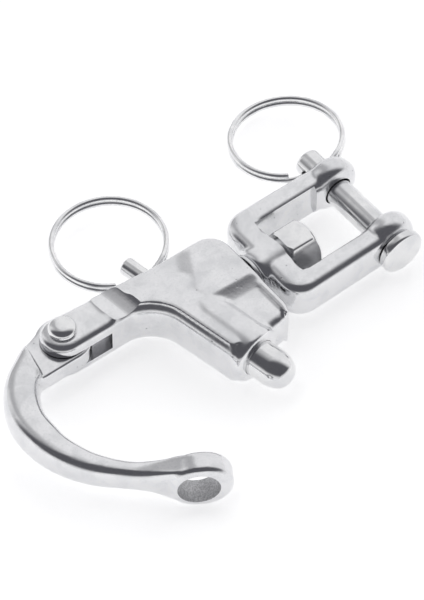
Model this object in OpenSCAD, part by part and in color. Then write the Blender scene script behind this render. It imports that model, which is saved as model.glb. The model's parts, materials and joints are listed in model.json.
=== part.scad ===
// Swivel snap shackle with a fork end, stainless steel, drawn with its hook open.
// Frame: origin on the swivel axis at the middle of the jaw pin. +X runs from the hook towards the
// fork, +Y towards the plunger's pull ring, +Z up. The shackle lies flat. All sizes in millimetres.

/* [Body] */
// Thickness of the body over the flat of the plunger barrel
body_t = 12.2; // [10:0.2:14]
// Thickness of the two lugs together with the slot between them
lug_t = 10; // [8:0.2:12]
// Radius of the lug ends round the hook's rivet
lug_r = 5.0; // [4:0.1:6]
// Distance from the jaw pin to the body's end face
body_end = 29.3; // [28:0.1:34]
// Width of the slot that takes the hook's tang
slot_w = 4.8; // [4:0.1:6]

/* [Hook] */
// Distance from the jaw pin back to the hook's rivet, along the swivel axis
pivot_back = 69; // [60:0.5:80]
// Distance of the hook's rivet to the side of the swivel axis
pivot_side = 9.8; // [8:0.1:12]
// Angle from the drawn, open hook to the latched one
open_angle = 42.8; // [0:0.1:60]
// Thickness of the hook where it leaves the body
hook_t = 8.0; // [6:0.1:9]
// Thickness of the hook just before its eye
hook_neck_t = 6.0; // [4:0.1:8]
// Bore of the hook's eye
eye_d = 9.0; // [8.4:0.1:10]
// Height of the hook's eye
eye_od = 12.2; // [11:0.1:15]
// Thickness of the hook's eye
eye_t = 5.3; // [4:0.1:8]

/* [Plunger] */
// Diameter of the plunger's nose
nose_d = 8.0; // [6:0.1:10]
// Length of nose that stands out of the barrel
nose_out = 8.2; // [6:0.1:10]
// Diameter of the plunger's tail rod
tail_d = 4.0; // [3:0.1:5]
// Angle of the plunger's axis away from square to the swivel axis
plunger_tilt = 10.7; // [0:0.1:20]
// Travel of the plunger when its ring is pulled
pull_travel = 8.0; // [6:0.1:9]

/* [Fork] */
// Clear gap between the two eyes of the fork
jaw_gap = 13; // [10:0.1:16]
// Outside width over the two eyes
jaw_w = 25.2; // [22:0.1:30]
// Radius of the fork's eyes
jaw_eye_r = 6.1; // [5:0.1:8]
// Diameter of the jaw pin
pin_d = 6.0; // [5:0.1:8]
// Diameter of the jaw pin's head
pin_head_d = 10; // [8:0.1:12]
// Diameter of the swivel bolt's shank
swivel_d = 6.0; // [4:0.1:7]
// Width across the flats of the swivel bolt's head
swivel_af = 10.4; // [8:0.1:11]

/* [Split rings] */
// Outside diameter of the split rings
ring_od = 25; // [20:0.5:30]
// Wire diameter of the split rings
ring_wire = 1.25; // [1:0.05:1.6]
// Downward lean of the plunger's ring
pull_ring_lean = 2.5; // [0:0.5:12]
// Downward lean of the jaw pin's ring
jaw_ring_lean = 7.5; // [0:0.5:12]

/* [Hidden] */
$fn = 72;
round_fn = 28;                // facets round a rounded, hulled shape
eps = 0.02;
hole_clear = 0.05;            // radial clearance of a shaft that turns or slides
fixed_clear = 0.02;           // radial clearance of a shaft that is fixed in its hole
body_round = 2.4;             // edge rounding of the body
arm_round = 2.0;              // edge rounding of the fork's arms

// plunger: P is its axis frame, +Z along it from the nose to the tail, 0 at the barrel's face
face_x = -40;
face_y = -17.1;
barrel_r = 6.3;
barrel_len = 27.4;
nose_in = 13;                 // nose length inside the barrel at rest
spring_pressed = 5.2;         // room for the spring when the plunger is drawn back
spring_end = nose_in + pull_travel + spring_pressed;
tail_end = 36;                // end of the tail rod
pull_hole_at = 30.9;          // the ring's cross hole, along the plunger
pull_hole_d = 2.3;
tail_hole_clear = 0.08;

// spring
spring_wire = 0.8;
spring_turns = 6;
spring_r = 3.3;               // mean radius of the coil
spring_gap = 0.1;             // slack at each end of the spring

// hook
tang_t = slot_w - 0.4;
tang_r = 5.8;
shoulder_x = -pivot_back - 8.3;
bow_left = -90.3;             // outermost point of the bow
bow_in_left = -82.9;          // bottom of the throat, at mid thickness
bow_in_side = 2.2;            // how far the throat side bulges out past its top edge
bow_round = 2.4;
bow_y_out = -4.4;             // where the outer edge runs parallel to Y
bow_y_in = -7.0;              // where the throat runs parallel to Y
bow_r_out_top = 17.4;
bow_r_out_low = 25.4;
bow_r_in_top = 11.7;
bow_r_in_low = 20.6;
throat_to = -47;
bow_end_turn = 49;            // how far round the lower arc the bow hands over to the neck
neck_r = 2.45;                // half width of the neck
neck_from = [bow_left + bow_r_out_low - (bow_r_out_low - neck_r) * cos(bow_end_turn),
             bow_y_out - (bow_r_out_low - neck_r) * sin(bow_end_turn), 0];
neck_mid = [-74.8, -26.6, 0];

// eye of the hook, in the hook's latched frame: distances from the rivet
eye_gap = 1.6;                // latched eye to barrel face
eye_lip = 1.0;                // how far the eye's outer wall is thickened outwards
rivet_d = 4.0;
rivet_head_d = 6.0;
rivet_head_h = 1.9;

// fork
web_in = -21.2;               // inner face of the fork's web
web_out = -27.1;
hub_out = -28.2;
hub_r = 5.7;
arm_t = 9.2;                  // height of the arms
arm_in = 8.0;                 // inner side of the arms
eye_round = 2.6;
pin_head_t = 2.0;
pin_tail = 17.2;
jaw_hole_at = jaw_w / 2 + 0.85;
jaw_hole_d = 2.8;
swivel_collar_d = 8.4;
swivel_collar_l = 1.8;
swivel_head_l = 6.4;
swivel_end = -38.4;           // inner end of the swivel bolt, in the body
washer_t = 0.7;
washer_r = 5.2;
swivel_clear = 0.15;
ring_r = ring_od / 2 - ring_wire / 2;
jog = 30;                     // half angle of the single-wire part of a ring

pivot = [-pivot_back, pivot_side, 0];
pull_ring_skew = -10.7;         // turn of the pull ring in its loose hole
jaw_ring_skew = -6;

// ---------- frames ----------

// +Z along the plunger from nose to tail, 0 at the middle of the barrel's face
module plunger_frame() {
    translate([face_x, face_y, 0])
        rotate([0, 0, plunger_tilt])
            rotate([-90, 0, 0])
                children();
}

// the place where the hook's eye sits when it is latched, moved back to the open hook
module eye_frame() {
    translate(pivot)
        rotate([0, 0, -open_angle])
            translate(-pivot)
                plunger_frame()
                    translate([0, 0, -eye_gap - eye_t])
                        children();
}

// ---------- shared shapes ----------

// disc with a rounded rim, centred on its thickness, for hulling
module puck(r, t, round) {
    for (lift = [0, 30, 60, 90])
        cylinder(r = r - round * (1 - cos(lift)), h = t - 2 * round * (1 - sin(lift)),
                 center = true, $fn = round_fn);
}

// pill: a cylinder with both ends rounded off
module rounded_pin(r, from, to, round) {
    translate([0, 0, from])
        rotate_extrude()
            intersection() {
                square([r, to - from]);
                union() {
                    square([r - round, to - from]);
                    translate([0, round])
                        square([r, to - from - 2 * round]);
                    translate([r - round, round])
                        circle(round);
                    translate([r - round, to - from - round])
                        circle(round);
                }
            }
}

// cutter for a round gap whose edges are rounded where it leaves a plate of thickness t
module spool(r, t, round) {
    rotate_extrude($fn = 96)
        difference() {
            translate([0, -t])
                square([r + round, 2 * t]);
            translate([r, round - t / 2])
                square([round + 1, t - 2 * round]);
            for (side = [-1, 1])
                translate([r + round, side * (t / 2 - round)])
                    circle(round);
        }
}

// split ring of nearly two turns; its single-wire part is centred on +X, axis Z
module split_ring() {
    lift = ring_wire / 2 + 0.03;
    for (side = [-1, 1])
        translate([0, 0, side * lift])
            rotate([0, 0, jog - 0.4])
                rotate_extrude(angle = 360 - 2 * jog + 0.8)
                    translate([ring_r, 0])
                        circle(ring_wire / 2, $fn = 24);
    rotate([asin(lift / (ring_r * sin(jog))), 0, 0])
        rotate([0, 0, -jog])
            rotate_extrude(angle = 2 * jog)
                translate([ring_r, 0])
                    circle(ring_wire / 2, $fn = 24);
}

// ---------- body ----------

module body_blank() {
    // lug arm
    hull() {
        translate(pivot)
            puck(lug_r, lug_t, body_round);
        translate([-55, 8.4, 0])
            puck(4.5, lug_t, body_round);
    }
    // main block, from the arm's root to the end face
    hull() {
        translate([-54, 8.0, 0])
            puck(4.5, lug_t, body_round);
        translate([-body_end - 5, 6.1, 0])
            puck(5, lug_t, body_round);
        translate([-44, -3, 0])
            puck(5, lug_t, body_round);
    }
    hull() {
        translate([-body_end - 5, 6.1, 0])
            puck(5, lug_t, body_round);
        translate([-body_end - 3.6, -11.6, 0])
            puck(3.6, lug_t, body_round);
        translate([-42, -9, 0])
            puck(5.5, lug_t, body_round);
    }
    // barrel of the plunger, flat above and below
    intersection() {
        plunger_frame()
            rounded_pin(barrel_r, 0, barrel_len, 0.8);
        translate([-60, -25, -body_t / 2])
            cube([40, 50, body_t]);
    }
}

module body() {
    color("lightgray")
    difference() {
        body_blank();
        // round throat between the lug arm and the barrel
        translate([-57.0, -3.4, 0])
            intersection() {
                spool(7.9, lug_t, body_round);
                translate([-20, -0.6, -body_t])
                    cube([40, 20, 2 * body_t]);
            }
        // slot for the hook's tang
        translate([-pivot_back - 10, -5, -slot_w / 2])
            cube([18.5, 30, slot_w]);
        translate(pivot + [0, 0, -body_t])
            cylinder(d = rivet_d + 2 * fixed_clear, h = 2 * body_t);
        // countersink for the peened end of the rivet
        translate(pivot + [0, 0, -lug_t / 2 - eps])
            cylinder(d1 = rivet_d + 1.6, d2 = rivet_d, h = 0.8);
        // shallow saddle across the lug arm, above and below
        for (side = [-1, 1])
            translate([-56.8, 8, side * (lug_t / 2 + 7.3)])
                rotate([90, 0, 6])
                    cylinder(r = 8, h = 24, center = true);
        // shallow dish between the barrel and the end face
        for (side = [-1, 1])
            translate([-34.2, -8.5, side * (lug_t / 2 + 9.2)])
                rotate([90, 0, plunger_tilt])
                    cylinder(r = 10, h = 12, center = true);
        // plunger's bore, the spring's chamber and the tail's hole
        plunger_frame()
            translate([0, 0, -1])
                cylinder(d = nose_d + 2 * hole_clear, h = spring_end + 1);
        plunger_frame()
            cylinder(d = tail_d + 2 * tail_hole_clear, h = barrel_len + 4);
        // tapped hole of the swivel bolt
        translate([swivel_end - 0.5, 0, 0])
            rotate([0, 90, 0])
                cylinder(d = swivel_d + 2 * fixed_clear, h = 20);
    }
}

module pivot_rivet() {
    color("silver")
    translate(pivot) {
        translate([0, 0, -lug_t / 2])
            cylinder(d = rivet_d, h = lug_t + eps);
        translate([0, 0, -lug_t / 2])
            cylinder(d1 = rivet_d + 1.5, d2 = rivet_d, h = 0.75);
        translate([0, 0, lug_t / 2 + 0.02])
            rotate_extrude()
                intersection() {
                    square([rivet_head_d / 2, rivet_head_h]);
                    union() {
                        square([rivet_head_d / 2, 0.7]);
                        square([rivet_head_d / 2 - 1.1, rivet_head_h]);
                        translate([rivet_head_d / 2 - 1.2, 0.7])
                            circle(1.2);
                    }
                }
    }
}

// ---------- hook ----------

// disc whose rim is rounded: the outside of the bow
module bow_disc(r) {
    translate([bow_left + r, bow_y_out, 0])
        rotate_extrude($fn = 120)
            intersection() {
                translate([0, -hook_t / 2])
                    square([r, hook_t]);
                union() {
                    translate([0, -hook_t / 2])
                        square([r - bow_round, hook_t]);
                    translate([0, -hook_t / 2 + bow_round])
                        square([r, hook_t - 2 * bow_round]);
                    for (side = [-1, 1])
                        translate([r - bow_round, side * (hook_t / 2 - bow_round)])
                            circle(bow_round);
                }
            }
}

// spool that cuts the throat: wider above and below, so the throat's side bulges
module throat_spool(r) {
    bulge = hook_t / 2 + 0.6;
    translate([bow_in_left + r, bow_y_in, 0])
        rotate_extrude($fn = 120)
            difference() {
                translate([0, -hook_t])
                    square([r + bow_in_side + 2, 2 * hook_t]);
                translate([r + bulge, 0])
                    circle(bulge);
                translate([r + bulge, -1])
                    square([20, 2]);
            }
}

module half_plane(y, upper, x_to) {
    translate([-120, upper ? y : y - 60, -20])
        cube([120 + x_to, 60, 40]);
}

module hook_bow() {
    difference() {
        intersection() {
            union() {
                intersection() {
                    bow_disc(bow_r_out_top);
                    half_plane(bow_y_out, true, shoulder_x);
                }
                intersection() {
                    bow_disc(bow_r_out_low);
                    translate([bow_left + bow_r_out_low, bow_y_out, -20])
                        linear_extrude(height = 40)
                            polygon([[0, 0], [-60, 0], [-60, -60 * tan(bow_end_turn)]]);
                }
            }
            // thinner towards the neck
            rotate([90, 0, -90])
                linear_extrude(height = 120)
                    polygon([[-10, -hook_t / 2], [-30, -hook_t / 2], [-30, hook_t / 2], [-10, hook_t / 2],
                             [2, hook_t / 2], [25, hook_neck_t / 2], [25, -hook_neck_t / 2],
                             [2, -hook_t / 2]]);
        }
        intersection() {
            throat_spool(bow_r_in_top);
            half_plane(bow_y_in, true, throat_to);
        }
        intersection() {
            throat_spool(bow_r_in_low);
            half_plane(bow_y_in, false, throat_to);
        }
    }
}

module hook() {
    color("lightgray")
    difference() {
        union() {
            hook_bow();
            // tang round the rivet
            hull() {
                translate(pivot)
                    cylinder(r = tang_r, h = tang_t, center = true);
                translate([shoulder_x - 1, 4.6, -tang_t / 2])
                    cube([1, 7.4, tang_t]);
            }
            // neck
            hull()
                for (at = [neck_from, neck_mid])
                    translate(at)
                        puck(neck_r, hook_neck_t, neck_r - 0.2);
            hull() {
                translate(neck_mid)
                    puck(neck_r, hook_neck_t, neck_r - 0.2);
                eye_frame()
                    translate([-1.5, 0, eye_t / 2 + 0.8])
                        cylinder(r = 4.2, h = 2.6, center = true, $fn = round_fn);
            }
            hull()
                for (shift = [0, eye_lip])
                    eye_frame()
                        translate([shift, 0, eye_t / 2])
                            puck(eye_od / 2, eye_t, 1.2);
        }
        translate(pivot)
            cylinder(d = rivet_d + 2 * hole_clear, h = 20, center = true);
        eye_frame()
            translate([0, 0, -10])
                cylinder(d = eye_d, h = 30);
    }
}

// ---------- plunger, its spring and its ring ----------

module plunger() {
    color("silver")
    plunger_frame()
    difference() {
        union() {
            translate([0, 0, -nose_out])
                rotate_extrude()
                    polygon([[0, 0], [nose_d / 2 - 1.9, 0], [nose_d / 2 - 1.2, 0.35],
                             [nose_d / 2, 2.2], [nose_d / 2, nose_out + nose_in],
                             [0, nose_out + nose_in]]);
            rounded_pin(tail_d / 2, nose_in - 1, tail_end, 0.6);
        }
        translate([0, 0, pull_hole_at])
            rotate([0, 90, 0])
                cylinder(d = pull_hole_d, h = 10, center = true);
    }
}

// closed coils drawn as a stack of turns joined by a riser, so that it stays one solid
module plunger_spring() {
    color("gray")
    plunger_frame()
        translate([0, 0, nose_in + spring_gap + spring_wire / 2]) {
            length = spring_end - nose_in - 2 * spring_gap - spring_wire;
            pitch = length / (spring_turns - 1);
            for (n = [0 : spring_turns - 1])
                translate([0, 0, n * pitch])
                    rotate_extrude()
                        translate([spring_r, 0])
                            circle(spring_wire / 2, $fn = 20);
            translate([spring_r, 0, 0])
                cylinder(d = spring_wire * 0.8, h = length, $fn = 20);
        }
}

module pull_ring() {
    color("silver")
    plunger_frame()
        translate([0, 0, pull_hole_at])
            rotate([90, 0, 0])
                ring_on_hole(pull_ring_skew, pull_ring_lean);
}

// a ring whose wire passes through the origin along X, leaning down, its middle towards +Y
module ring_on_hole(skew, lean) {
    rotate([0, 0, skew])
        rotate([-lean, 0, 0])
            translate([0, ring_r, 0])
                rotate([0, 0, -90])
                    split_ring();
}

// ---------- swivel ----------

module swivel_bolt() {
    color("silver")
    rotate([0, 90, 0]) {
        translate([0, 0, swivel_end])
            cylinder(d = swivel_d, h = web_in - swivel_end + 1);
        translate([0, 0, web_in + swivel_clear])
            cylinder(d = swivel_collar_d, h = swivel_collar_l);
        // hexagonal head with a rounded end
        intersection() {
            translate([0, 0, web_in + swivel_clear + swivel_collar_l])
                rotate([0, 0, 30])
                    cylinder(d = swivel_af / cos(30), h = swivel_head_l, $fn = 6);
            rounded_pin(swivel_af / 2 + 0.6, web_in, web_in + swivel_clear + swivel_collar_l + swivel_head_l, 2.8);
        }
    }
}

module swivel_washer() {
    color("gray")
    translate([hub_out - swivel_clear - washer_t, 0, 0])
        rotate([0, 90, 0])
            difference() {
                cylinder(r = washer_r, h = washer_t);
                translate([0, 0, -1])
                    cylinder(d = swivel_d + 2 * hole_clear, h = washer_t + 2);
            }
}

// ---------- fork ----------

module fork_arm(side) {
    // from the rounded corner of the web to the eye
    hull() {
        translate([web_out + 5.2, side * (jaw_w / 2 + 0.4 - 5.2), 0])
            puck(5.2, arm_t, arm_round);
        translate([web_in - 2.4, side * (arm_in + 2.5), 0])
            puck(2.5, arm_t, arm_round);
        translate([-2, side * (jaw_w / 2 - 2.5), 0])
            puck(2.4, arm_t, arm_round);
        translate([-2, side * (arm_in + 2.3), 0])
            puck(2.4, arm_t, arm_round);
    }
    translate([0, side * jaw_w / 2, 0])
        rotate([side * 90, 0, 0])
            rounded_pin(jaw_eye_r, 0, (jaw_w - jaw_gap) / 2, eye_round);
}

module fork() {
    color("lightgray")
    difference() {
        union() {
            for (side = [-1, 1])
                fork_arm(side);
            // web
            hull()
                for (side = [-1, 1])
                    translate([(web_in + web_out) / 2 - 0.1, side * 9, 0])
                        puck((web_in - web_out) / 2 - 0.1, arm_t, arm_round);
            // hub of the swivel
            translate([hub_out, 0, 0])
                rotate([0, 90, 0])
                    rounded_pin(hub_r, 0, web_in - hub_out + 1.2, 0.9);
        }
        // milled inner face
        translate([web_in, -arm_in + 0.05, -20])
            cube([17, 2 * arm_in - 0.1, 40]);
        translate([0, -30, 0])
            rotate([-90, 0, 0])
                cylinder(d = pin_d + 2 * hole_clear, h = 60);
        translate([-40, 0, 0])
            rotate([0, 90, 0])
                cylinder(d = swivel_d + 2 * hole_clear, h = 30);
    }
}

module jaw_pin() {
    color("silver")
    rotate([-90, 0, 0])
    difference() {
        union() {
            rounded_pin(pin_d / 2, -jaw_w / 2 - 1, pin_tail, 1.0);
            translate([0, 0, -jaw_w / 2 - 0.25 - pin_head_t])
                rotate_extrude()
                    intersection() {
                        square([pin_head_d / 2, pin_head_t]);
                        union() {
                            translate([0, 0.6])
                                square([pin_head_d / 2, pin_head_t]);
                            square([pin_head_d / 2 - 0.6, pin_head_t]);
                            translate([pin_head_d / 2 - 0.6, 0.6])
                                circle(0.6);
                        }
                    }
        }
        translate([0, 0, jaw_hole_at])
            rotate([0, 90, 0])
                cylinder(d = jaw_hole_d, h = 20, center = true);
    }
}

module jaw_pin_ring() {
    color("silver")
    translate([0, jaw_hole_at, 0])
        ring_on_hole(jaw_ring_skew, jaw_ring_lean);
}

body();
pivot_rivet();
hook();
plunger();
plunger_spring();
pull_ring();
swivel_bolt();
swivel_washer();
fork();
jaw_pin();
jaw_pin_ring();
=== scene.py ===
"""Swivel snap shackle in stainless steel: the finished pieces, their finishes, light and camera.

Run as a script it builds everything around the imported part. Shapes are modelled in millimetres
and brought to metres as each piece is finished.
"""

import json
import math

import bmesh
import bpy
from mathutils import Matrix, Vector


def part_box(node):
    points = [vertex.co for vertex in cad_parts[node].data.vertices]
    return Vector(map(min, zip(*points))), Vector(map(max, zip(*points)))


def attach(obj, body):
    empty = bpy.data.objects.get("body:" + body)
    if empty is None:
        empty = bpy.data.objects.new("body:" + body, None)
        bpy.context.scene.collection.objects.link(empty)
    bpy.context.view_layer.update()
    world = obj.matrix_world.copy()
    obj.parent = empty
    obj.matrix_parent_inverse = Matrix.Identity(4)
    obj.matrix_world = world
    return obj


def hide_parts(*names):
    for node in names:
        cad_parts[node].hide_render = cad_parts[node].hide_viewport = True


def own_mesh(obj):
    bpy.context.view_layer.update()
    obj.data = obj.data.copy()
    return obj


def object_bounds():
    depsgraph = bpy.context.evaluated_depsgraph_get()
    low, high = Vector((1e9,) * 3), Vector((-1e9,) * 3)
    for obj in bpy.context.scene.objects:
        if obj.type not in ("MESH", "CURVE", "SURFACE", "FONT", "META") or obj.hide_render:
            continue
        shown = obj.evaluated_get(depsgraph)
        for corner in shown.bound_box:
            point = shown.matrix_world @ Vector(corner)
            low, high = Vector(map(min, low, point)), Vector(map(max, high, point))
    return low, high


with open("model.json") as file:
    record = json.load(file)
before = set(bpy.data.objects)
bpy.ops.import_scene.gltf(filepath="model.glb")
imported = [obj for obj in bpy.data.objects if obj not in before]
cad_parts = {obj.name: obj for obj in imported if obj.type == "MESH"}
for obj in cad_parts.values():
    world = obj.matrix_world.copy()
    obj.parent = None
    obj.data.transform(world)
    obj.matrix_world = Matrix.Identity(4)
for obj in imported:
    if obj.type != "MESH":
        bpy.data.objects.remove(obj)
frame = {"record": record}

bl_info = {
    "name": "Swivel Snap Shackle",
    "version": (1, 0, 0),
    "blender": (4, 5, 0),
    "location": "View3D > Sidebar > Shackle",
    "description": "Builds the finished pieces of a swivel snap shackle around its packed frame",
    "category": "Add Mesh",
}

CAD_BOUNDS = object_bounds()
MM = 0.001
ROUND_STEPS = 5  # steps in a small rounding
CREASE = math.radians(32)  # edges sharper than this stay crisp
TANG_HALF = 2.2  # half thickness of the hook's tang
SLOT_HALF = 2.4  # half width of the slot that takes it
PIN_HOLE = 3.05  # radius of the fork's eyes and of its hub's bore
FORK_INNER = -21.2  # where the fork's web ends inside
CLEAR = 9.0  # reach of a tool that has to run right through
BEHAVIOUR = frame["record"]["behaviour"]
BODY_OF = {node: body for body, nodes in BEHAVIOUR["bodies"].items() for node in nodes}
JOINTS = {joint["name"]: joint for joint in BEHAVIOUR["joints"]}


def in_mm(place):
    """A place from the record, in millimetres."""
    return Vector(place) / MM


PIVOT = in_mm(JOINTS["hook_swing"]["pos_m"])
PULL_HOLE = in_mm(JOINTS["pull_ring_swing"]["pos_m"])
JAW_HOLE = in_mm(JOINTS["jaw_ring_swing"]["pos_m"])
PULL_AXIS = Vector(JOINTS["plunger_pull"]["axis"]).normalized()
ACROSS_PULL = Vector((PULL_AXIS.y, -PULL_AXIS.x, 0))
X_AXIS, Y_AXIS, Z_AXIS = Vector((1, 0, 0)), Vector((0, 1, 0)), Vector((0, 0, 1))


def box_mm(node):
    """Lowest and highest corner of a CAD node, in millimetres."""
    low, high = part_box(node)
    return low / MM, high / MM


# ---------------------------------------------------------------- sizes and colours


class ShackleSizes(bpy.types.PropertyGroup):
    """Sizes of the shackle's pieces, in metres."""

    plunger_reach: bpy.props.FloatProperty(
        name="Plunger reach", description="From the barrel's face to the tail's cross hole",
        default=0.0309, subtype="DISTANCE", unit="LENGTH")
    nose_diameter: bpy.props.FloatProperty(
        name="Nose diameter", description="Diameter of the plunger's nose",
        default=0.008, subtype="DISTANCE", unit="LENGTH")
    nose_length: bpy.props.FloatProperty(
        name="Nose length", description="How far the nose stands out of the barrel",
        default=0.0082, subtype="DISTANCE", unit="LENGTH")
    tail_diameter: bpy.props.FloatProperty(
        name="Tail diameter", description="Diameter of the plunger's tail rod",
        default=0.004, subtype="DISTANCE", unit="LENGTH")
    pin_diameter: bpy.props.FloatProperty(
        name="Jaw pin diameter", description="Diameter of the jaw pin",
        default=0.006, subtype="DISTANCE", unit="LENGTH")
    pin_head: bpy.props.FloatProperty(
        name="Jaw pin head", description="Diameter of the jaw pin's head",
        default=0.010, subtype="DISTANCE", unit="LENGTH")
    hexagon: bpy.props.FloatProperty(
        name="Hexagon", description="Width over the flats of the swivel bolt's head",
        default=0.0104, subtype="DISTANCE", unit="LENGTH")
    ring_diameter: bpy.props.FloatProperty(
        name="Ring diameter", description="Outside diameter of the split rings",
        default=0.025, subtype="DISTANCE", unit="LENGTH")
    ring_wire: bpy.props.FloatProperty(
        name="Ring wire", description="Wire diameter of the split rings",
        default=0.00125, subtype="DISTANCE", unit="LENGTH")
    bow_bulge: bpy.props.FloatProperty(
        name="Throat bulge", description="How far the hook's throat rounds out past its flat",
        default=0.0024, subtype="DISTANCE", unit="LENGTH")
    grain_size: bpy.props.FloatProperty(
        name="Casting mesh", description="Cell size of the castings' meshes",
        default=0.00025, subtype="DISTANCE", unit="LENGTH", precision=5)


class ShackleColours(bpy.types.PropertyGroup):
    """Colours of the shackle's finishes."""

    casting: bpy.props.FloatVectorProperty(
        name="Casting", description="Colour of the tumbled castings",
        subtype="COLOR", size=3, default=(0.79, 0.79, 0.80), min=0, max=1)
    casting_shade: bpy.props.FloatVectorProperty(
        name="Casting shade", description="Colour of the castings' duller patches",
        subtype="COLOR", size=3, default=(0.65, 0.655, 0.67), min=0, max=1)
    turned: bpy.props.FloatVectorProperty(
        name="Turned steel", description="Colour of the polished turned pieces",
        subtype="COLOR", size=3, default=(0.82, 0.82, 0.82), min=0, max=1)
    wire: bpy.props.FloatVectorProperty(
        name="Ring wire", description="Colour of the split rings",
        subtype="COLOR", size=3, default=(0.9, 0.9, 0.9), min=0, max=1)
    floor: bpy.props.FloatVectorProperty(
        name="Floor", description="Colour of the floor",
        subtype="COLOR", size=3, default=(0.93, 0.93, 0.93), min=0, max=1)


def sizes():
    return bpy.context.scene.shackle_sizes


def colours():
    return bpy.context.scene.shackle_colours


# ---------------------------------------------------------------- shapes


def turned(profile, steps=96, closed=False):
    """Solid of revolution about Z. Points are (radius, height) or (radius, height, fillet)."""
    bm = bmesh.new()
    verts = [bm.verts.new((point[0], 0, point[1])) for point in profile]
    pairs = list(zip(verts, verts[1:])) + ([(verts[-1], verts[0])] if closed else [])
    for pair in pairs:
        bm.edges.new(pair)
    for vert, point in zip(verts, profile):
        if len(point) > 2:
            bmesh.ops.bevel(bm, geom=[vert], offset=point[2], offset_type="OFFSET",
                            segments=ROUND_STEPS, profile=0.5, affect="VERTICES", material=-1)
    bmesh.ops.spin(bm, geom=bm.verts[:] + bm.edges[:], cent=(0, 0, 0), axis=(0, 0, 1),
                   angle=2 * math.pi, steps=steps, use_merge=True)
    bmesh.ops.remove_doubles(bm, verts=bm.verts, dist=1e-4)
    bmesh.ops.recalc_face_normals(bm, faces=bm.faces)
    return bm


def plate(corners, half, edge):
    """Flat plate. Corners are (x, y, radius) in order, edge is the rounding of both rims."""
    bm = bmesh.new()
    verts = [bm.verts.new((x, y, -half)) for x, y, _ in corners]
    bm.faces.new(verts)
    places = [Vector((x, y)) for x, y, _ in corners]
    for n, vert in enumerate(verts):
        radius = corners[n][2]
        if radius:
            back = (places[n - 1] - places[n]).normalized()
            ahead = (places[(n + 1) % len(places)] - places[n]).normalized()
            along = radius / math.tan(back.angle(ahead) / 2)
            bmesh.ops.bevel(bm, geom=[vert], offset=along, offset_type="OFFSET",
                            segments=2 * ROUND_STEPS, profile=0.5, affect="VERTICES", material=-1)
    grown = bmesh.ops.extrude_face_region(bm, geom=bm.faces[:])["geom"]
    top = [part for part in grown if isinstance(part, bmesh.types.BMVert)]
    bmesh.ops.translate(bm, verts=top, vec=(0, 0, 2 * half))
    bmesh.ops.recalc_face_normals(bm, faces=bm.faces)
    rims = [e for e in bm.edges if abs(e.verts[0].co.z - e.verts[1].co.z) < 1e-6]
    bmesh.ops.bevel(bm, geom=rims, offset=edge, offset_type="OFFSET", segments=ROUND_STEPS,
                    profile=0.5, affect="EDGES", material=-1, clamp_overlap=False)
    return bm


def block(low, high):
    """Plain box between two corners, for cutting."""
    bm = bmesh.new()
    bmesh.ops.create_cube(bm, size=1)
    low, high = Vector(low), Vector(high)
    bmesh.ops.scale(bm, vec=high - low, verts=bm.verts)
    bmesh.ops.translate(bm, vec=(high + low) / 2, verts=bm.verts)
    return bm


def facet(point, outward, tilt):
    """Two cutting blocks, above and below, whose faces pass through point and fall outward."""
    turn = math.atan2(outward[1], outward[0])
    blocks = []
    for side in (1, -1):
        bm = block((-4, -30, 0), (40, 30, 12))
        matrix = (Matrix.Diagonal((1, 1, side, 1)) @ Matrix.Translation(point)
                  @ Matrix.Rotation(turn, 4, "Z")
                  @ Matrix.Rotation(math.radians(tilt), 4, "Y"))
        bmesh.ops.transform(bm, matrix=matrix, verts=bm.verts)
        bmesh.ops.recalc_face_normals(bm, faces=bm.faces)
        blocks.append(bm)
    return blocks


def rod(radius, start, end, steps=64):
    """Plain round bar between two places, for cutting."""
    start, end = Vector(start), Vector(end)
    length = (end - start).length
    return placed(turned([(0, 0), (radius, 0), (radius, length), (0, length)], steps), start,
                  end - start)


def placed(bm, origin, axis):
    """Stand a shape that was turned about Z on origin, along axis."""
    stand = Matrix.Translation(origin) @ Vector(axis).to_track_quat("Z", "Y").to_matrix().to_4x4()
    bmesh.ops.transform(bm, matrix=stand, verts=bm.verts)
    return bm


def joined(shapes):
    """One mesh of several shapes, which may overlap."""
    bm = bmesh.new()
    for shape in shapes:
        part = bpy.data.meshes.new("part")
        shape.to_mesh(part)
        shape.free()
        bm.from_mesh(part)
        bpy.data.meshes.remove(part)
    return bm


def smooth_path(rows, steps):
    """Rows of numbers joined by a smooth curve through them."""
    out = []
    for n in range(len(rows) - 1):
        before, start = rows[max(n - 1, 0)], rows[n]
        end, after = rows[n + 1], rows[min(n + 2, len(rows) - 1)]
        for step in range(steps):
            t = step / steps
            out.append([
                0.5 * (2 * b + (c - a) * t + (2 * a - 5 * b + 4 * c - d) * t * t
                       + (3 * b - a - 3 * c + d) * t ** 3)
                for a, b, c, d in zip(before, start, end, after)])
    return out + [list(rows[-1])]


def swept(sections, sides=48):
    """Solid through a row of sections. Each section gives the place of the point at an angle."""
    bm = bmesh.new()
    turn = bm.verts.layers.float.new("turn")
    ring = bmesh.ops.create_circle(bm, cap_ends=False, radius=1, segments=sides)["verts"]
    for vert in ring:
        vert[turn] = math.atan2(vert.co.y, vert.co.x)
    edges = bm.edges[:]
    for n, place in enumerate(sections):
        if n:
            grown = bmesh.ops.extrude_edge_only(bm, edges=edges)["geom"]
            ring = [part for part in grown if isinstance(part, bmesh.types.BMVert)]
            new = set(ring)
            edges = [part for part in grown if isinstance(part, bmesh.types.BMEdge)
                     and part.verts[0] in new and part.verts[1] in new]
        for vert in ring:
            vert.co = place(vert[turn])
    bmesh.ops.holes_fill(bm, edges=[e for e in bm.edges if e.is_boundary], sides=0)
    bmesh.ops.recalc_face_normals(bm, faces=bm.faces)
    return bm


SHAPE_STEPS = {"ADD": "UNION", "CUT": "DIFFERENCE", "KEEP": "INTERSECT"}


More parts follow.
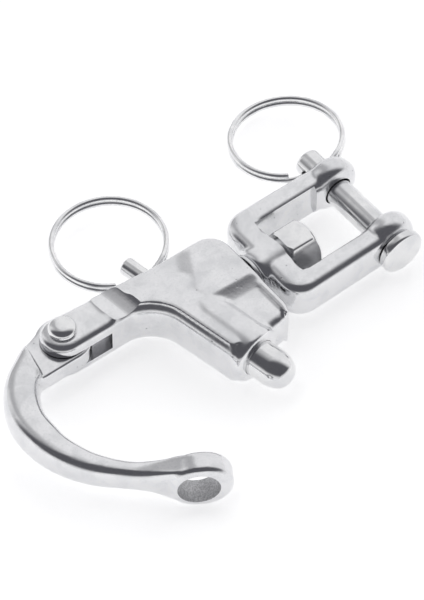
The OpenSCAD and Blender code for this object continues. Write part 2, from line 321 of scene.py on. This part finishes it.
def stand_in(bm, name):
    """Temporary object that carries a shape through modifiers."""
    mesh = bpy.data.meshes.new(name)
    bm.to_mesh(mesh)
    bm.free()
    obj = bpy.data.objects.new(name, mesh)
    bpy.context.scene.collection.objects.link(obj)
    return obj


def worked(bm, steps):
    """Apply modifiers in turn. A step is (type, settings), or a shape to add, cut or keep."""
    obj = stand_in(bm, "blank")
    helpers = []
    for kind, settings in steps:
        if kind in SHAPE_STEPS:
            tool = stand_in(settings, "tool")
            helpers.append(tool)
            settings = {"object": tool, "solver": "MANIFOLD", "operation": SHAPE_STEPS[kind]}
            kind = "BOOLEAN"
        modifier = obj.modifiers.new(kind, kind)
        for name, value in settings.items():
            setattr(modifier, name, value)
    graph = bpy.context.evaluated_depsgraph_get()
    mesh = bpy.data.meshes.new_from_object(obj.evaluated_get(graph))
    out = bmesh.new()
    out.from_mesh(mesh)
    bpy.data.meshes.remove(mesh)
    for helper in helpers + [obj]:
        data = helper.data
        bpy.data.objects.remove(helper)
        bpy.data.meshes.remove(data)
    return out


def cast(forms, cuts, bores, soften):
    """Casting: forms run together, rough cuts taken out, edges softened, then clean bores made."""
    cell = sizes().grain_size / MM * 1
    rounds = max(2, soften // (1))
    steps = [("ADD", form) for form in forms[1:]] + [("CUT", cut) for cut in cuts]
    steps += [("REMESH", {"mode": "VOXEL", "voxel_size": cell}),
              ("SMOOTH", {"factor": 0.5, "iterations": rounds})]
    return worked(forms[0], steps + [("CUT", bore) for bore in bores])


def finish(bm, name, node, material):
    """Make a shape in millimetres into the finished piece that stands for a CAD node."""
    bmesh.ops.scale(bm, vec=(MM, MM, MM), verts=bm.verts)
    mesh = bpy.data.meshes.new(name)
    bm.to_mesh(mesh)
    bm.free()
    mesh.shade_smooth()
    mesh.set_sharp_from_angle(angle=CREASE)
    mesh.materials.clear()
    mesh.materials.append(material)
    piece = bpy.data.objects.new(name, mesh)
    bpy.context.scene.collection.objects.link(piece)
    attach(piece, BODY_OF[node])
    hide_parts(node)
    return piece


# ---------------------------------------------------------------- finishes


class Amount:
    """A value in a recipe that adds and scales like a number."""

    def __init__(self, recipe, socket):
        self.recipe, self.socket = recipe, socket

    def _math(self, operation, first, second):
        return self.recipe.node("ShaderNodeMath", {"operation": operation}, {0: first, 1: second})

    def __add__(self, other):
        return self._math("ADD", self, other)

    __radd__ = __add__

    def __sub__(self, other):
        return self._math("SUBTRACT", self, other)

    def __rsub__(self, other):
        return self._math("SUBTRACT", other, self)

    def __mul__(self, other):
        return self._math("MULTIPLY", self, other)

    __rmul__ = __mul__


class Recipe:
    """Builds the nodes of one material or of the surrounding light."""

    def __init__(self, owner):
        owner.use_nodes = True
        self.tree = owner.node_tree
        self.tree.nodes.clear()

    def node(self, kind, settings=None, inputs=None, output=0):
        made = self.tree.nodes.new(kind)
        for name, value in (settings or {}).items():
            setattr(made, name, value)
        for name, value in (inputs or {}).items():
            if isinstance(value, Amount):
                self.tree.links.new(value.socket, made.inputs[name])
            else:
                made.inputs[name].default_value = value
        return Amount(self, made.outputs[output]) if made.outputs else None

    def noise(self, place, scale, detail=2.0, rough=0.5, distortion=0.0):
        return self.node("ShaderNodeTexNoise", {}, {
            "Vector": place, "Scale": scale, "Detail": detail, "Roughness": rough,
            "Distortion": distortion})

    def blend(self, share, first, second):
        """Colour between two, by share."""
        return self.node("ShaderNodeMix", {"data_type": "RGBA"}, {
            0: share, 6: first, 7: second}, 2)

    def spread(self, value, low, high, to_low=0.0, to_high=1.0):
        """Value stretched from one range to another, smoothly and without running over."""
        return self.node("ShaderNodeMapRange", {"interpolation_type": "SMOOTHSTEP"}, {
            "Value": value, "From Min": low, "From Max": high, "To Min": to_low,
            "To Max": to_high})


def rgba(colour):
    return (colour[0], colour[1], colour[2], 1.0)


CLOUD, PATCH, PITS, SAND = 260, 90, 520, 2600  # scales of the marks, per metre
PIT_COLOUR = (0.25, 0.25, 0.26, 1)
# dark grey for a bore's wall: painted shade in the recess, with a sandy speckle
SAND_AND_SHADE_COLOUR = (0.33, 0.33, 0.34, 1)


def steel(name, colour, shade, rough, rough_spread, grain, grain_height, lines=None,
          line_height=0.0, specks=0.0, hollow=None):
    """Stainless steel. Lines are (turn, scale) of the marks that the tool left, or none.

    Hollow is (place, axis, radius) of a bore left rough from the mould, its wall painted darker as
    shade, or none.
    """
    material = bpy.data.materials.new(name)
    recipe = Recipe(material)
    place = recipe.node("ShaderNodeTexCoord", output="Object")
    cloud = recipe.noise(place, CLOUD, 3, 0.55, 0.4)
    patch = recipe.noise(place, PATCH, 2, 0.5)
    fine = recipe.noise(place, grain, 4, 0.65)
    tone = recipe.spread(cloud, 0.35, 0.7)
    dull = tone * 0.55 + recipe.spread(patch, 0.4, 0.7) * 0.35
    tint = recipe.blend(dull, rgba(colour), rgba(shade))
    tint = recipe.blend(recipe.spread(fine, 0.5, 0.7) * 0.6, tint, rgba(shade))
    roughness = rough + rough_spread * (tone - 0.5) + 0.5 * rough_spread * (fine - 0.5)
    height = fine * grain_height + recipe.noise(place, grain * 0.3, 2) * (grain_height * 1.5)
    if lines:
        turn, scale = lines
        along = recipe.node("ShaderNodeMapping", {}, {
            "Vector": place, "Rotation": turn, "Scale": scale})
        streak = recipe.noise(along, 1.0, 3, 0.7)
        height = height + streak * line_height
        roughness = roughness + rough_spread * 0.8 * (streak - 0.5)
    if specks:
        cell = recipe.node("ShaderNodeTexVoronoi", {"feature": "F1"}, {
            "Vector": place, "Scale": PITS})
        pit = recipe.spread(cell, 0.05, 0.13, 1, 0) * recipe.spread(patch, 0.5, 0.62)
        tint = recipe.blend(pit * specks, tint, PIT_COLOUR)
        height = height - pit * grain_height * 4
    if hollow:
        offset = recipe.node("ShaderNodeVectorMath", {"operation": "SUBTRACT"}, {
            0: place, 1: tuple(hollow[0])})
        swung = recipe.node("ShaderNodeVectorMath", {"operation": "CROSS_PRODUCT"}, {
            0: offset, 1: tuple(hollow[1])})
        away = recipe.node("ShaderNodeVectorMath", {"operation": "LENGTH"}, {0: swung}, "Value")
        # the bore's wall: rougher and speckled, and tinted dark as painted shade in the recess
        rough_shaded_wall = recipe.spread(away, hollow[2] * 1.004, hollow[2] * 1.02, 1, 0)
        speck = recipe.spread(recipe.noise(place, SAND, 4, 0.75), 0.4, 0.62)
        tint = recipe.blend(rough_shaded_wall * (0.15 + 0.5 * speck), tint, SAND_AND_SHADE_COLOUR)
        roughness = roughness + rough_shaded_wall * 0.2
        height = height + rough_shaded_wall * speck * 4e-5
    bump = recipe.node("ShaderNodeBump", {}, {"Strength": 1.0, "Distance": 1.0, "Height": height})
    shader = recipe.node("ShaderNodeBsdfPrincipled", {}, {
        "Base Color": tint, "Metallic": 1.0, "Roughness": roughness, "Normal": bump})
    recipe.node("ShaderNodeOutputMaterial", {}, {"Surface": shader})
    return material


def tumbled_steel(name, hollow=None):
    """Satin face of a tumbled and hand-polished casting."""
    return steel(name, colours().casting, colours().casting_shade, 0.19, 0.1, 2600, 9e-6,
                 specks=0.6, hollow=hollow)


def polished_steel(name, turn=(0, 0, 0), scale=(300, 300, 9000), rough=0.13):
    """Bright face of a turned piece, with the lathe's fine rings."""
    return steel(name, colours().turned, colours().casting_shade, rough, 0.07, 3600, 1.2e-6,
                 lines=(turn, scale), line_height=3e-6)


def bright_wire(name):
    """Bright drawn wire with a fine grain."""
    return steel(name, colours().wire, colours().casting_shade, 0.24, 0.08, 3000, 2e-6)


# ---------------------------------------------------------------- pieces


class SHACKLE_OT_body(bpy.types.Operator):
    """Cast body with its lug arm, plunger barrel and swivel end"""

    bl_idname = "shackle.body"
    bl_label = "Cast body"

    def execute(self, context):
        reach = sizes().plunger_reach / MM
        face = PULL_HOLE - PULL_AXIS * reach
        _, high = box_mm("body")
        end, top = high.x, high.z

        arm = plate([(-74, 4.8, 4.95), (-74, 14.75, 4.95), (-54, 12.5, 1), (-54, 4.4, 1)],
                    5.0, 1.8)
        base = plate([(end, -15.2, 3.6), (end, 11.1, 5), (-44, 11.4, 6), (-57, 12.9, 1),
                      (-57, 4.5, 0.4), (-50.5, 4.5, 7.9), (-46.1, -16, 1)], 4.6, 2.3)
        front = plate([(-39.5, -15.5, 1), (-38.0, 6, 3), (-44, 9, 3), (-60, 11.5, 1),
                       (-60, 4.45, 0.4), (-50.5, 4.45, 7.8), (-46.2, -17.0, 1)], 5.9, 3.3)
        back = plate([(-38, 0, 2), (-38, 11.2, 1), (-44, 11.4, 4), (-60, 13.1, 0.5),
                      (-60, 7.5, 0.5), (-50, 7.5, 3), (-45, 0, 2)], 5.5, 1.2)
        boss = worked(plate([(end, -8.4, 1.5), (end, 10.9, 4.8), (-44.6, 11.2, 2),
                             (-43.2, 1.0, 2), (-40.0, -8.4, 1)], 6.0, 1.3),
                      [("CUT", cut) for cut in facet((-39.6, 4.55, 6.0), (-0.87, 0.49), 9)]
                      + [("CUT", rod(24, (-48, -12.3, lift), (-20, -13.9, lift), 200))
                         for lift in (-27.5, 27.5)])
        rim = plate([(end, -14.9, 3.4), (end, 0, 0.6), (end - 1.8, 0, 0.4),
                     (end - 1.8, -14.9, 1.4)], 5.15, 0.7)
        barrel = placed(turned([(0, 0), (6.25, 0, 1.1), (6.2, 13), (5.3, 24), (5.0, 27.2, 0.9),
                                (0, 27.2)]), face, PULL_AXIS)
        cuts = [block((-120, -60, side * (top + 10) - 10), (20, 60, side * (top + 10) + 10))
                for side in (-1, 1)]
        clean = [block((-90, -10, -SLOT_HALF), (-60.5, 30, SLOT_HALF))]
        for side in (-1, 1):
            lean = Matrix.Rotation(math.radians(7), 3, "Z") @ Y_AXIS
            middle = Vector((-57.0, 8, side * 10.8))
            clean.append(rod(6.3, middle - lean * 14, middle + lean * 14, 96))
        bore = placed(turned([(0, -3), (7.1, -3), (4.05, 0.05), (4.05, 26.2), (2.08, 26.25),
                              (2.08, 40), (0, 40)]), face, PULL_AXIS)
        rivet = rod(2.0, (PIVOT.x, PIVOT.y, -CLEAR), (PIVOT.x, PIVOT.y, CLEAR))
        bolt = rod(3.0, (-38.9, 0, 0), (0, 0, 0))
        bm = cast([arm, base, front, back, boss, rim, barrel], cuts,
                  clean + [bore, rivet, bolt], 30)
        finish(bm, "cast_body", "body", tumbled_steel("tumbled_body"))
        return {"FINISHED"}


class SHACKLE_OT_hook(bpy.types.Operator):
    """Cast hook: tang, bow, neck and the eye that the plunger locks"""

    bl_idname = "shackle.hook"
    bl_label = "Cast hook"

    # outer edge x, y, throat side x, y at mid height, and half height, from the root to the eye
    BOW = [
        (-72.4, 14.0, -72.8, 5.2, 3.95), (-76.6, 13.2, -75.6, 4.9, 3.95),
        (-80.25, 11.37, -77.7, 4.4, 3.95), (-84.08, 8.93, -79.5, 3.2, 3.95),
        (-87.15, 5.58, -81.0, 1.2, 3.95), (-89.25, 1.55, -82.1, -1.0, 3.95),
        (-90.23, -2.88, -82.8, -3.5, 3.9), (-90.05, -7.93, -82.9, -6.93, 3.85),
        (-89.19, -11.83, -82.8, -9.87, 3.75), (-87.73, -15.53, -82.06, -12.77, 3.6),
        (-85.71, -18.97, -81.0, -15.7, 3.45), (-83.48, -21.72, -79.6, -18.1, 3.3),
        (-81.23, -23.95, -78.1, -20.2, 3.15), (-78.9, -26.3, -76.0, -22.5, 3.1),
        (-76.4, -28.6, -73.5, -24.7, 3.4), (-74.25, -30.75, -71.3, -26.7, 4.15),
        (-72.4, -32.6, -69.4, -28.2, 5.0), (-70.7, -33.9, -67.85, -29.6, 5.65),
        (-69.3, -34.9, -66.5, -30.65, 5.95),
    ]

    def section(self, row):
        """Place on the bow's skin at an angle: flat above and below, rounded to both sides."""
        out, throat = Vector((row[0], row[1], 0)), Vector((row[2], row[3], 0))
        half = row[4]
        width = (out - throat).length
        across = (out - throat) / width
        inner = min(sizes().bow_bulge / MM, width / 2)
        neck = min(max((-row[1] - 27) / 5, 0), 1)
        outer = min(2.9 - 1.4 * neck, width / 2)
        inner -= 0.9 * neck

        def place(angle):
            square = (0.76 if math.cos(angle) > 0 else 0.92) - 0.3 * neck
            over = math.copysign(abs(math.cos(angle)) ** square, math.cos(angle))
            rise = math.copysign(abs(math.sin(angle)) ** square, math.sin(angle))
            if over > 0:
                at = width - outer + outer * over
            else:
                at = inner + inner * over
            return throat + across * at + Z_AXIS * (half * rise)

        return place

    def execute(self, context):
        bow = swept([self.section(row) for row in smooth_path(self.BOW, 5)])
        eye_axis = Vector((0.5314, 0.8471, 0))
        along = Vector((0.8471, -0.5314, 0))
        eye = Vector((-67.99, -32.82, 0))
        rings = [placed(turned([(0, -2.65), (6.1, -2.65, 1.3), (6.1, 2.65, 1.3), (0, 2.65)]),
                        eye + along * shift, eye_axis) for shift in (0, 0.95)]
        tang = placed(turned([(0, -TANG_HALF), (5.8, -TANG_HALF, 0.5), (5.8, TANG_HALF, 0.5),
                              (0, TANG_HALF)]), PIVOT, Z_AXIS)
        root = plate([(-79.5, 4.2, 1), (-79.5, 11.8, 1), (-69, 15.5, 0.3), (-69, 4.05, 0.3)],
                     TANG_HALF, 0.4)
        step = Vector((-1.7, -8.0, 0)).normalized()
        cuts = []
        for side in (-1, 1):
            low, high = sorted((side * TANG_HALF, side * CLEAR))
            shoulder = block((0, -12, low), (14, 8, high))
            turn = Matrix.Translation((-77.0, 9.2, 0)) @ Matrix.Rotation(
                math.atan2(step.x, -step.y), 4, "Z")
            bmesh.ops.transform(shoulder, matrix=turn, verts=shoulder.verts)
            cuts.append(shoulder)
        hollow = 4.3
        bores = [rod(hollow, eye - eye_axis * CLEAR, eye + eye_axis * CLEAR, 96),
                 rod(2.05, (PIVOT.x, PIVOT.y, -CLEAR), (PIVOT.x, PIVOT.y, CLEAR))]
        bm = cast([bow, tang, root] + rings, cuts, bores, 16)
        # the eye's bore wall is rougher and painted darker as shade, through the hollow setting
        finish(bm, "cast_hook", "hook",
               tumbled_steel("tumbled_hook", hollow=(eye * MM, eye_axis, hollow * MM)))
        return {"FINISHED"}


class SHACKLE_OT_fork(bpy.types.Operator):
    """Cast fork: web with its hub, two arms and two round eyes"""

    bl_idname = "shackle.fork"
    bl_label = "Cast fork"

    def execute(self, context):
        inner = FORK_INNER
        arms = plate([(-27.1, -13.0, 5.2), (-27.1, 13.0, 5.2), (0, 12.6, 2), (0, 6.9, 1),
                      (inner + 0.9, 6.9, 0.8), (inner + 0.9, -6.9, 0.8), (0, -6.9, 1),
                      (0, -12.6, 2)], 4.6, 2.2)
        eyes = [placed(turned([(0, 6.5), (6.0, 6.5, 2.3), (6.0, 12.65, 3.1), (0, 12.65)]),
                       (0, 0, 0), (0, side, 0)) for side in (-1, 1)]
        hub = placed(turned([(0, 0), (5.2, 0, 1.2), (5.4, 9, 0.5), (0, 9)]), (-28.2, 0, 0), X_AXIS)
        pin_bores = [placed(turned([(0, 5), (3.3, 5), (3.3, 9.2), (PIN_HOLE, 9.7),
                                    (PIN_HOLE, 12.2), (3.3, 12.5), (3.3, 14), (0, 14)]),
                            (0, 0, 0), (0, side, 0))
                     for side in (-1, 1)]
        bores = pin_bores + [rod(PIN_HOLE, (-40, 0, 0), (-10, 0, 0)),
                             block((inner, -7.9, -20), (-5.4, 7.9, 20))]
        bm = cast([arms, hub] + eyes, [], bores, 26)
        finish(bm, "cast_fork", "fork", tumbled_steel("tumbled_fork"))
        return {"FINISHED"}


class SHACKLE_OT_rivet(bpy.types.Operator):
    """Rivet of the hook, with a domed head above and a peened end below"""

    bl_idname = "shackle.rivet"
    bl_label = "Hook rivet"

    def execute(self, context):
        low, high = box_mm("pivot_rivet")
        top = high.z
        shape = turned([(0, low.z), (2.75, low.z, 0.2), (2.0, low.z + 0.75), (2.0, 5.02),
                        (3.0, 5.02, 0.15), (3.0, top - 0.95, 0.55), (2.0, top, 0.75),
                        (0, top)], 72)
        placed(shape, Vector((PIVOT.x, PIVOT.y, 0)), Z_AXIS)
        finish(shape, "hook_rivet", "pivot_rivet",
               polished_steel("polished_rivet", scale=(1500, 1500, 1500), rough=0.16))
        return {"FINISHED"}


class SHACKLE_OT_plunger(bpy.types.Operator):
    """Turned plunger: nose, hidden shoulder and tail rod with its cross hole"""

    bl_idname = "shackle.plunger"
    bl_label = "Plunger"

    def execute(self, context):
        reach = sizes().plunger_reach / MM
        nose = sizes().nose_diameter / MM / 2
        out = sizes().nose_length / MM
        tail = sizes().tail_diameter / MM / 2
        face = PULL_HOLE - PULL_AXIS * reach
        shape = turned([(0, -out), (nose - 1.9, -out, 1.1), (nose, 2.4 - out, 1.9),
                        (nose, 13, 0.3), (tail, 13), (tail, 36, 0.5), (0, 36)], 96)
        placed(shape, face, PULL_AXIS)
        hole = rod(1.15, PULL_HOLE - ACROSS_PULL * 6, PULL_HOLE + ACROSS_PULL * 6, 32)
        shape = worked(shape, [("CUT", hole)])
        finish(shape, "plunger_pin", "plunger",
               polished_steel("polished_plunger", turn=(0, 0, math.atan2(PULL_AXIS.x, PULL_AXIS.y)),
                              scale=(2600, 220, 2600)))
        return {"FINISHED"}


class SHACKLE_OT_spring(bpy.types.Operator):
    """Coil spring round the plunger's tail, made at its rest length; the real one is pressed as the
    plunger is drawn back
    """

    bl_idname = "shackle.spring"
    bl_label = "Plunger spring"

    def execute(self, context):
        reach = sizes().plunger_reach / MM
        face = PULL_HOLE - PULL_AXIS * reach
        start, end, wire, turns = 13.5, 25.7, 0.8, 6
        per_turn = 32
        bm = bmesh.new()
        section = bmesh.ops.create_circle(bm, cap_ends=True, radius=wire / 2, segments=14)["verts"]
        bmesh.ops.rotate(bm, verts=section, cent=(0, 0, 0),
                         matrix=Matrix.Rotation(math.pi / 2, 3, "X"))
        bmesh.ops.translate(bm, verts=section, vec=(3.3, 0, start))
        loop = bm.faces[:] + bm.edges[:] + bm.verts[:]
        rise = (end - start - 2 * wire) / (turns * per_turn)
        for coils, lift in ((1, wire / per_turn), (turns, rise), (1, wire / per_turn)):
            loop = bmesh.ops.spin(bm, geom=loop, cent=(0, 0, 0), axis=(0, 0, 1),
                                  dvec=(0, 0, lift), angle=2 * math.pi * coils,
                                  steps=per_turn * coils)["geom_last"]
        bmesh.ops.recalc_face_normals(bm, faces=bm.faces)
        placed(bm, face, PULL_AXIS)
        piece = finish(bm, "plunger_coil", "plunger_spring",
                       steel("spring_steel", colours().turned, colours().casting_shade, 0.24, 0.1,
                             3000, 2e-6))
        travel = JOINTS["plunger_pull"]["range_m"][1] / MM
        1 - travel / (end - start + wire)
        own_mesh(piece)
        return {"FINISHED"}


def ring_shape():
    """Split ring of nearly two turns about Z; its single wire crosses over at +X."""
    wire = sizes().ring_wire / MM
    radius = sizes().ring_diameter / MM / 2 - wire / 2
    lift = wire / 2 + 0.03
    gap = math.radians(30)
    bm = bmesh.new()
    section = bmesh.ops.create_circle(bm, cap_ends=True, radius=wire / 2, segments=20)["verts"]
    bmesh.ops.rotate(bm, verts=section, cent=(0, 0, 0), matrix=Matrix.Rotation(math.pi / 2, 3, "X"))
    bmesh.ops.translate(bm, verts=section, vec=(radius, 0, -lift))
    bmesh.ops.rotate(bm, verts=section, cent=(0, 0, 0), matrix=Matrix.Rotation(gap, 3, "Z"))
    loop = bm.faces[:] + bm.edges[:] + bm.verts[:]
    crossing = 16
    level = (2 * math.pi - 2 * gap, 90, 0)
    for angle, steps, rise in (level, (2 * gap, crossing, 2 * lift / crossing), level):
        loop = bmesh.ops.spin(bm, geom=loop, cent=(0, 0, 0), axis=(0, 0, 1), dvec=(0, 0, rise),
                              angle=angle, steps=steps)["geom_last"]
    bmesh.ops.recalc_face_normals(bm, faces=bm.faces)
    ends = [e for e in bm.edges if e.calc_face_angle(0) > math.radians(60)]
    bmesh.ops.bevel(bm, geom=ends, offset=0.12, offset_type="OFFSET", segments=2, profile=0.5,
                    affect="EDGES", material=-1)
    bmesh.ops.rotate(bm, verts=bm.verts, cent=(0, 0, 0),
                     matrix=Matrix.Rotation(-math.pi / 2, 3, "Z"))
    bmesh.ops.translate(bm, verts=bm.verts, vec=(0, radius, 0))
    return bm


class SHACKLE_OT_rings(bpy.types.Operator):
    """Split rings of the plunger and of the jaw pin"""

    bl_idname = "shackle.rings"
    bl_label = "Split rings"

    def execute(self, context):
        for name, node, hole, skew, lean in (
                ("pull_split_ring", "pull_ring", PULL_HOLE, 0.0, -2.5),
                ("jaw_split_ring", "jaw_pin_ring", JAW_HOLE, -6.0, -7.5)):
            bm = ring_shape()
            stand = (Matrix.Translation(hole) @ Matrix.Rotation(math.radians(skew), 4, "Z")
                     @ Matrix.Rotation(math.radians(lean), 4, "X"))
            bmesh.ops.transform(bm, matrix=stand, verts=bm.verts)
            finish(bm, name, node, bright_wire("bright_" + node))
        return {"FINISHED"}


class SHACKLE_OT_bolt(bpy.types.Operator):
    """Swivel bolt with a domed hexagonal head and a collar"""

    bl_idname = "shackle.bolt"
    bl_label = "Swivel bolt"

    def execute(self, context):
        low, high = box_mm("swivel_bolt")
        inner = FORK_INNER
        collar = inner + 0.95
        flat = sizes().hexagon / MM / 2
        bm = bmesh.new()
        bmesh.ops.create_cone(bm, cap_ends=True, segments=6, radius1=flat / math.cos(math.pi / 6),
                              radius2=flat / math.cos(math.pi / 6), depth=high.x - collar)
        bmesh.ops.rotate(bm, verts=bm.verts, cent=(0, 0, 0),
                         matrix=Matrix.Rotation(math.radians(30), 3, "Z"))
        bmesh.ops.translate(bm, verts=bm.verts, vec=(0, 0, (high.x + collar) / 2))
        uprights = [e for e in bm.edges if abs(e.verts[0].co.z - e.verts[1].co.z) > 1]
        bmesh.ops.bevel(bm, geom=uprights, offset=0.45, offset_type="OFFSET", segments=4,
                        profile=0.5, affect="EDGES", material=-1)
        dome = turned([(0, collar), (flat + 0.25, collar), (flat + 0.8, collar + 0.7, 0.2),
                       (flat + 0.8, high.x - 1.9, 0.6), (flat - 0.7, high.x - 0.3, 1.2),
                       (0, high.x)], 96)
        head = worked(bm, [("KEEP", dome)])
        shank = turned([(0, low.x), (2.96, low.x, 0.4), (2.96, inner + 0.12),
                        (4.2, inner + 0.12, 0.2), (4.2, collar + 0.3), (0, collar + 0.3)], 72)
        bm = joined([head, shank])
        placed(bm, (0, 0, 0), X_AXIS)
        finish(bm, "swivel_bolt_head", "swivel_bolt",
               polished_steel("polished_bolt", scale=(2400, 260, 2400), rough=0.2))
        return {"FINISHED"}


class SHACKLE_OT_washer(bpy.types.Operator):
    """Thin washer between the body and the fork's hub"""

    bl_idname = "shackle.washer"
    bl_label = "Swivel washer"

    def execute(self, context):
        low, high = box_mm("swivel_washer")
        shape = turned([(3.15, low.x), (high.z, low.x, 0.12), (high.z, high.x, 0.12),
                        (3.15, high.x)], 96, closed=True)
        placed(shape, (0, 0, 0), X_AXIS)
        finish(shape, "thrust_washer", "swivel_washer",
               polished_steel("polished_washer", scale=(2000, 2000, 2000), rough=0.2))
        return {"FINISHED"}


class SHACKLE_OT_jaw_pin(bpy.types.Operator):
    """Jaw pin with a flat rounded head and a cross-drilled tail"""

    bl_idname = "shackle.jaw_pin"
    bl_label = "Jaw pin"

    def execute(self, context):
        low, high = box_mm("jaw_pin")
        pin = sizes().pin_diameter / MM / 2
        head = sizes().pin_head / MM / 2
        shape = turned([(0, low.y), (head, low.y, 0.65), (head, low.y + 2.0, 0.4),
                        (pin, low.y + 2.0), (pin, high.y, 0.8), (0, high.y)], 96)
        placed(shape, (0, 0, 0), Y_AXIS)
        hole = rod(1.4, JAW_HOLE - X_AXIS * 9, JAW_HOLE + X_AXIS * 9, 32)
        shape = worked(shape, [("CUT", hole)])
        finish(shape, "jaw_pin_shaft", "jaw_pin",
               polished_steel("polished_jaw_pin", scale=(2400, 240, 2400), rough=0.17))
        return {"FINISHED"}


# ---------------------------------------------------------------- stage


class SHACKLE_OT_stage(bpy.types.Operator):
    """Pale floor, soft studio light and the camera"""

    bl_idname = "shackle.stage"
    bl_label = "Stage"

    LENS = 231.84  # millimetres
    MIDDLE = Vector((-0.03285, 0.00718, -0.01142))  # where the camera is aimed
    LOOK = Vector((0.3799, 0.4810, -0.7902))
    DISTANCE = 0.8
    FLOOR_HALF = 1.5

    def floor(self):
        low, _ = CAD_BOUNDS
        bm = bmesh.new()
        bmesh.ops.create_grid(bm, x_segments=1, y_segments=1, size=self.FLOOR_HALF)
        bmesh.ops.translate(bm, verts=bm.verts, vec=(0, 0, low[2]))
        mesh = bpy.data.meshes.new("floor")
        bm.to_mesh(mesh)
        bm.free()
        material = bpy.data.materials.new("pale_floor")
        recipe = Recipe(material)
        place = recipe.node("ShaderNodeTexCoord", output="Object")
        soft = recipe.noise(place, 40, 2)
        tint = recipe.blend(soft, rgba(colours().floor), (0.95, 0.95, 0.95, 1))
        shader = recipe.node("ShaderNodeBsdfPrincipled", {}, {
            "Base Color": tint, "Roughness": 0.9, "Specular IOR Level": 0.1,
            "Emission Color": (1, 1, 1, 1), "Emission Strength": 0.52})
        recipe.node("ShaderNodeOutputMaterial", {}, {"Surface": shader})
        mesh.materials.append(material)
        obj = bpy.data.objects.new("floor", mesh)
        bpy.context.scene.collection.objects.link(obj)

    def surround(self):
        """Soft white tent: bright behind and at the sides, a dark opening on the camera's side."""
        world = bpy.data.worlds.new("soft_tent")
        recipe = Recipe(world)
        way = recipe.node("ShaderNodeTexCoord", output="Generated")
        split = recipe.node("ShaderNodeSeparateXYZ", {}, {0: way})
        x, y, z = (Amount(recipe, split.socket.node.outputs[n]) for n in range(3))
        away = x * 0.62 + y * 0.785
        opening = recipe.spread(away, -0.1, 0.4, 1, 0) * recipe.spread(z, 0.1, 0.4)
        far_left = (recipe.spread(x, 0.1, 0.32, 1, 0) * recipe.spread(x, -0.4, -0.1)
                    * recipe.spread(y, 0.2, 0.45))
        light = (1 - opening) * (1 - far_left * 0.5)
        tone = recipe.blend(light, (0.11, 0.11, 0.122, 1), (0.95, 0.95, 0.96, 1))
        background = recipe.node("ShaderNodeBackground", {}, {"Color": tone, "Strength": 1.0})
        recipe.node("ShaderNodeOutputWorld", {}, {"Surface": background})
        bpy.context.scene.world = world

    def lamp(self, name, place, aim, size, power):
        data = bpy.data.lights.new(name, "AREA")
        data.shape = "RECTANGLE"
        data.size, data.size_y = size
        data.energy = power
        obj = bpy.data.objects.new(name, data)
        obj.location = place
        obj.visible_glossy = False
        obj.rotation_euler = (Vector(aim) - Vector(place)).to_track_quat("-Z", "Y").to_euler()
        bpy.context.scene.collection.objects.link(obj)

    def camera(self):
        data = bpy.data.cameras.new("camera")
        data.lens = self.LENS
        data.clip_start, data.clip_end = 0.01, 50
        look = self.LOOK.normalized()
        obj = bpy.data.objects.new("camera", data)
        obj.location = self.MIDDLE - look * self.DISTANCE
        obj.rotation_euler = look.to_track_quat("-Z", "Y").to_euler()
        bpy.context.scene.collection.objects.link(obj)
        bpy.context.scene.camera = obj

    def execute(self, context):
        self.floor()
        self.surround()
        self.lamp("softbox_over", (-0.15, 0.15, 0.7), (-0.04, 0, 0), (0.4, 0.3), 0.5)
        self.lamp("softbox_left", (-0.6, 0.1, 0.5), (-0.04, 0, 0), (0.4, 0.4), 0.5)
        self.camera()
        context.scene.view_settings.view_transform = "Standard"
        return {"FINISHED"}


class SHACKLE_PT_panel(bpy.types.Panel):
    """Lists the shackle's sizes, colours and pieces"""

    bl_idname = "SHACKLE_PT_panel"
    bl_label = "Swivel snap shackle"
    bl_space_type = "VIEW_3D"
    bl_region_type = "UI"
    bl_category = "Shackle"

    def draw(self, context):
        for group in (context.scene.shackle_sizes, context.scene.shackle_colours):
            column = self.layout.column(align=True)
            for name in group.__annotations__:
                column.prop(group, name)
        for operator in PIECES:
            self.layout.operator(operator.bl_idname)


PIECES = (
    SHACKLE_OT_stage, SHACKLE_OT_body, SHACKLE_OT_hook, SHACKLE_OT_fork, SHACKLE_OT_rivet,
    SHACKLE_OT_plunger, SHACKLE_OT_spring, SHACKLE_OT_rings, SHACKLE_OT_bolt, SHACKLE_OT_washer,
    SHACKLE_OT_jaw_pin,
)
CLASSES = (ShackleSizes, ShackleColours) + PIECES + (SHACKLE_PT_panel,)


def register():
    for item in CLASSES:
        bpy.utils.register_class(item)
    bpy.types.Scene.shackle_sizes = bpy.props.PointerProperty(type=ShackleSizes)
    bpy.types.Scene.shackle_colours = bpy.props.PointerProperty(type=ShackleColours)


def unregister():
    del bpy.types.Scene.shackle_colours
    del bpy.types.Scene.shackle_sizes
    for item in reversed(CLASSES):
        bpy.utils.unregister_class(item)


def main():
    register()
    for piece in PIECES:
        group, name = piece.bl_idname.split(".")
        getattr(getattr(bpy.ops, group), name)()


if __name__ == "__main__":
    main()
